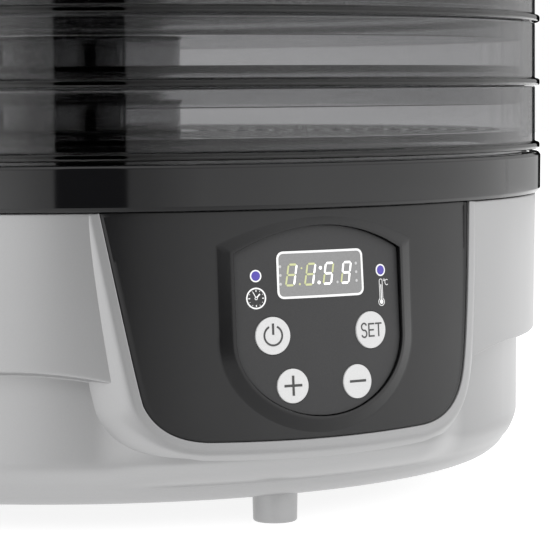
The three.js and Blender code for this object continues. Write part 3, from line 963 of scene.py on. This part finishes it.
def make_display():
    """The lens with its printed frame, and the digits, points and small marks that shine through it."""
    frame_path = rounded_frame(DISPLAY_HALF_WIDTH - 0.35, DISPLAY_HALF_HEIGHT - 0.35, 1.9)
    border = rounded_frame(DISPLAY_HALF_WIDTH - 0.3, DISPLAY_HALF_HEIGHT - 0.3, 1.9)
    right_half = sorted(((x, DISPLAY_Z + y) for x, y in border if x >= 0), key=lambda p: p[1])
    right_half = [(0.0, right_half[0][1])] + right_half + [(0.0, right_half[-1][1])]
    lens = face_patch(right_half, 60, 40, PLATE_LIFT + 0.1, 1.4)
    piece = make_object("display_lens", [lens], WINDOW, "base", 40)
    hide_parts("display_window")
    printed = [ribbon(frame_path, 0.72, closed=True, height=0.08)]
    lit, unlit = [], []
    for arc, shown in zip(DIGIT_ARCS, LIT_SEGMENTS):
        for name in SEGMENTS:
            (lit if name in shown else unlit).append(segment(arc, name))
    lit += [disc(-0.35, 1.85, 0.55), disc(-1.05, -2.75, 0.55)]
    unlit += [disc(-7.3, 2.0, 0.33), disc(-8.1, -3.0, 0.36)]
    dim = [disc(5.9, -2.9, 0.42)]
    dim += [disc(side, y, 0.46) for side in (-14.9, 13.4) for y in (2.75, 0.0, -2.75)]
    for name, parts, material, slot in (
        ("display_frame", printed, PRINT, "white_plastic"),
        ("digits_lit", lit, LIT, "lamp_plastic"),
        ("digits_unlit", unlit, UNLIT, "lamp_plastic"),
        ("display_dots", dim, DIM, "lamp_plastic"),
    ):
        make_mark(name, parts, material, "base", 0, DISPLAY_Z, PLATE_LIFT + 0.1)


def make_lamps():
    """Two indicator lenses in white rings, each over its own symbol."""
    for name, side, mark in (("lamp_timer", -1, clock_mark), ("lamp_heat", 1, thermometer_mark)):
        arc = side * LAMP_ARC
        rim, crown = PLATE_LIFT + 0.16, PLATE_LIFT + 0.4
        outline = fillet([(0, -2.2, 0), (1.62, -2.2, 0), (1.62, rim, 0.2), (0, crown, 0)], 4)
        lens = moved(lathe(outline, 40), panel_matrix(arc, LAMP_Z))
        piece = make_object(f"{name}_lens", [lens], LAMP, "base")
        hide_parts(name)
        ring = [ribbon(circle_path(0, 0, 1.72), 0.42, closed=True, height=0.22)]
        make_mark(f"{name}_ring", ring, PRINT, "base", arc, LAMP_Z, PLATE_LIFT)
        make_mark(f"{name}_symbol", mark(), PRINT, "base", arc, ICON_Z, PLATE_LIFT)


# ---- trays and lid ----


def make_tray(name, seam):
    """One stacking tray as a single closed moulding: wall, flange, skirt, slotted floor and hub."""
    hub, wall, thick = CHIMNEY_RADIUS, TRAY_WALL_RADIUS, 1.8
    rise, top = TRAY_FLOOR_RISE, TRAY_PITCH
    under, edge, skirt = rise - thick, 154.5, SKIRT_RADIUS - 0.9
    turns = []
    sectors, rib = 54, 0.0075
    for j in range(sectors):
        middle = 2 * math.pi * (j + 0.5) / sectors
        step = (2 * math.pi / sectors - 2 * rib) / 3
        turns += [middle - rib, middle + rib, middle + rib + step, middle + rib + 2 * step]
    corners = [
        (edge, under, 0), (skirt, under, 0.8), (skirt, -SKIRT_DEPTH, 0.3), (SKIRT_RADIUS, -SKIRT_DEPTH, 0.4),
        (SKIRT_RADIUS, 0.3, 0.3), (FLANGE_RADIUS, 0.3, 0.9), (FLANGE_RADIUS, 2.5, 1.0), (wall, 2.9, 0.5),
        (wall, top, 0.8), (wall - thick, top, 0.8), (wall - thick, 2.3, 0.6), (SKIRT_RADIUS, 2.3, 0.4),
        (SKIRT_RADIUS, rise, 0.6), (edge, rise, 0),
    ]
    shell = ring_walls([(r, z + seam) for r, z in fillet(corners, 4)], turns)
    hub_corners = [
        (hub + 7, rise, 0), (hub + 2, rise, 1.0), (hub + 2, 17.2, 0.6), (hub + 3.4, 18.7, 0.4),
        (hub, 18.7, 0.5), (hub, under, 0.4), (hub + 7, under, 0),
    ]
    core = ring_walls([(r, z + seam) for r, z in fillet(hub_corners, 4)], turns)
    radii = [hub + 7.0]
    while radii[-1] < edge - 10:
        radii += [radii[-1] + 1.8, radii[-1] + 7.0]
    radii.append(edge)
    floor = polar_plate(radii, turns, lambda i, j: i % 2 == 1 and j % 4 != 0, seam + under, seam + rise)
    piece = make_object(f"{name}_moulding", [shell, core, floor], SMOKE, name, 40)
    paint_rim_shade(piece, seam)
    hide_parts(name)


def paint_rim_shade(piece, seam):
    """Paints shade on the flange, between the stacked layers: its faces get a darker tint that stands in for
    the shadow gaps and dark edges there.
    """
    # Painted shade: flange faces near the seam take the darker tint.
    piece.data.materials.append(PAINTED_RIM_SHADE)
    inside, low, high = SKIRT_RADIUS + 0.3, -0.1, 2.8
    for face in piece.data.polygons:
        x, y, z = face.center / MM
        if math.hypot(x, y) > inside and low < z - seam < high:
            face.material_index = 1


def make_lid(seam):
    """The domed lid with a ring of air vents around its crown, as one closed moulding."""
    vents = 12
    turns = []
    for j in range(vents * 2):
        middle = math.pi * j / vents
        turns += [middle - 0.09, middle, middle + 0.09] + [middle + 0.09 + 0.0137 * k for k in range(1, 6)]
    corners = [
        (36, 18.4, 0), (120, 14.5, 8), (150, 10.5, 4), (157.5, 5.5, 2), (157.5, -SKIRT_DEPTH, 0.6),
        (SKIRT_RADIUS, -SKIRT_DEPTH, 0.6), (SKIRT_RADIUS, 0.3, 0.3), (FLANGE_RADIUS, 0.3, 0.9),
        (FLANGE_RADIUS, 2.5, 1.0),
        (161.5, 7, 2), (152, 12.8, 6), (121, 17, 10), (40, 20.6, 0.6), (40, 21.8, 0.4), (37.4, 21.8, 0.4),
        (37.4, 20.6, 0.3), (36, 20.6, 0),
    ]
    dome = ring_walls([(r, z + seam) for r, z in fillet(corners, 5)], turns)
    vented = [j for j in range(len(turns)) if (j // 8) % 2 == 0 and j % 8 in (0, 1)]
    radii = [0.0, 13, 32, 36]
    crown = polar_plate(radii, turns, lambda i, j: i == 1 and j in vented, seam + 18.4, seam + 20.6)
    piece = make_object("lid_dome", [dome, crown], SMOKE, "lid", 40)
    paint_rim_shade(piece, seam)
    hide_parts("lid")


# ---- studio ----


def make_studio():
    world = bpy.data.worlds.new("studio")
    bpy.context.scene.world = world
    world.use_nodes = True
    set_inputs(world.node_tree.nodes["Background"], {"Color": (1, 1, 1, 1), "Strength": 1.0})
    floor_mesh = bpy.data.meshes.new("floor")
    corners = [(6 * x, 6 * y, 0) for x, y in ((-1, -1), (1, -1), (1, 1), (-1, 1))]
    floor_mesh.from_pydata(corners, [], [(0, 1, 2, 3)])
    floor = new_object("floor", floor_mesh)
    paper, nodes, links, shader = new_material("floor_paper")
    add_grain(nodes, links, shader, 400, 0.00002, (0.6, 0.7))
    set_inputs(shader, {"Base Color": (*grey(0.3), 1), "Emission Color": (1, 1, 1, 1)})
    set_inputs(shader, {"Emission Strength": 0.88})
    floor_mesh.materials.append(paper)
    add_lamp("key", (-1.4, -1.6, 1.6), 1.6, 22)
    add_lamp("fill", (1.8, -0.9, 1.1), 1.4, 9)
    near, far, high = 0.5, 2.0, 2.6
    make_card("front_card", FRONT_CARD, [(near, 0.0), (near, 1.2)], through=True)
    make_card("apron_card", APRON_CARD, [(0.18, 0.003), (near, 0.003)], through=True)
    make_card("edge_card", EDGE_CARD, [(far, 0.02), (far, high)])
    make_card("back_card", BACK_CARD, [(far, 0.0), (far, high)], through=True)


# Black cards around the object, as (degrees from the camera's side towards its right, how black) points.
FRONT_CARD = [
    (-18.5, 0), (-10.1, 0.42), (-7.4, 0.5), (-6.9, 1), (6.7, 1), (7.2, 0.66), (11.8, 0.58), (22, 0.28),
    (44, 0.08), (109.8, 0.08),
]
APRON_CARD = [(-18.5, 0), (-8, 0.35), (8, 0.6), (22, 0.5), (44, 0.32), (80, 0.2), (109.8, 0.1)]
EDGE_CARD = [(121.2, 0.08), (133, 0.3), (146, 0.5), (153, 0.52), (154, 1), (166, 1), (166.6, 0)]
BACK_CARD = [
    (177.5, 0), (177.7, 1), (180.6, 1), (181.2, 0.93), (182, 0.93), (182.6, 1), (214, 1), (216, 0),
]


def make_card(name, stops, profile, through=False):
    """A card curved round the object, through (distance, height) points, which the camera never sees.

    Only reflections see it and, if through, views through clear plastic too.
    """
    camera = bpy.context.scene.camera.location
    front = math.atan2(camera.x, -camera.y)
    degrees = np.array([d for d, _ in stops], float)
    fine = sorted(set(np.linspace(degrees.min(), degrees.max(), 80)) | set(degrees))
    points, faces = [], []
    for i, turn in enumerate(fine):
        angle = front + math.radians(turn)
        points += [(distance * math.sin(angle), -distance * math.cos(angle), z) for distance, z in profile]
        a, b = i * len(profile), (i + 1) * len(profile)
        if i < len(fine) - 1:
            faces += [(a + k, b + k, b + k + 1, a + k + 1) for k in range(len(profile) - 1)]
    mesh = bpy.data.meshes.new(name)
    mesh.from_pydata(points, [], faces)
    cover = mesh.attributes.new("cover", "FLOAT", "POINT")
    values = np.repeat(np.interp(fine, degrees, [c for _, c in stops]), len(profile))
    cover.data.foreach_set("value", values.astype(np.float32))
    material, nodes, links, shader = new_material(name)
    set_inputs(shader, {"Base Color": (*grey(0.002), 1), "Roughness": 1.0, "Specular IOR Level": 0.0})
    attribute = nodes.new("ShaderNodeAttribute")
    attribute.attribute_name = "cover"
    links.new(attribute.outputs["Fac"], shader.inputs["Alpha"])
    mesh.materials.append(material)
    card = new_object(name, mesh)
    card.visible_camera = False
    card.visible_diffuse = False
    card.visible_shadow = False
    card.visible_transmission = through


def add_lamp(name, place, size, power):
    lamp = bpy.data.lights.new(name, "AREA")
    lamp.size = size
    lamp.energy = power
    holder = new_object(name, lamp)
    holder.location = place
    holder.visible_glossy = False
    aim = Vector((0, 0, 0.12)) - Vector(place)
    holder.rotation_euler = aim.to_track_quat("-Z", "Y").to_euler()
    return holder


# ---- assembly ----

bpy.context.scene.view_settings.view_transform = "Standard"
make_camera()
make_studio()
make_housing()
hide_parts("lower_housing")
make_deck()
make_feet()
make_fascia()
make_plate()
make_buttons()
make_display()
make_lamps()
for index, tray_name in enumerate(TRAYS):
    make_tray(tray_name, FIRST_SEAM + index * TRAY_PITCH)
make_lid(FIRST_SEAM + len(TRAYS) * TRAY_PITCH)

# The remaining pieces keep their CAD shape; the start of a name gives the finish.
FINISHES = {
    "bottom_cover": COVER, "outlet_grille": COVER, "cord_gland": COVER, "cover_screw": STEEL,
    "motor_shaft": STEEL, "motor_bracket": SHEET, "fan_motor": STEEL, "fan": COMPONENT, "air_duct": SHEET,
    "heater_frame": MICA, "heater_coil": COIL, "thermal_fuse": CERAMIC, "temperature_probe": STEEL,
    "control_board": LAMINATE, "power_board": LAMINATE, "transformer": WINDING, "relay": COMPONENT,
    "switch": COMPONENT, "display_module": COMPONENT,
}
for node_name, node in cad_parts.items():
    if not node.hide_render:
        finish = next(material for start, material in FINISHES.items() if node_name.startswith(start))
        node.data.materials.clear()
        node.data.materials.append(finish)
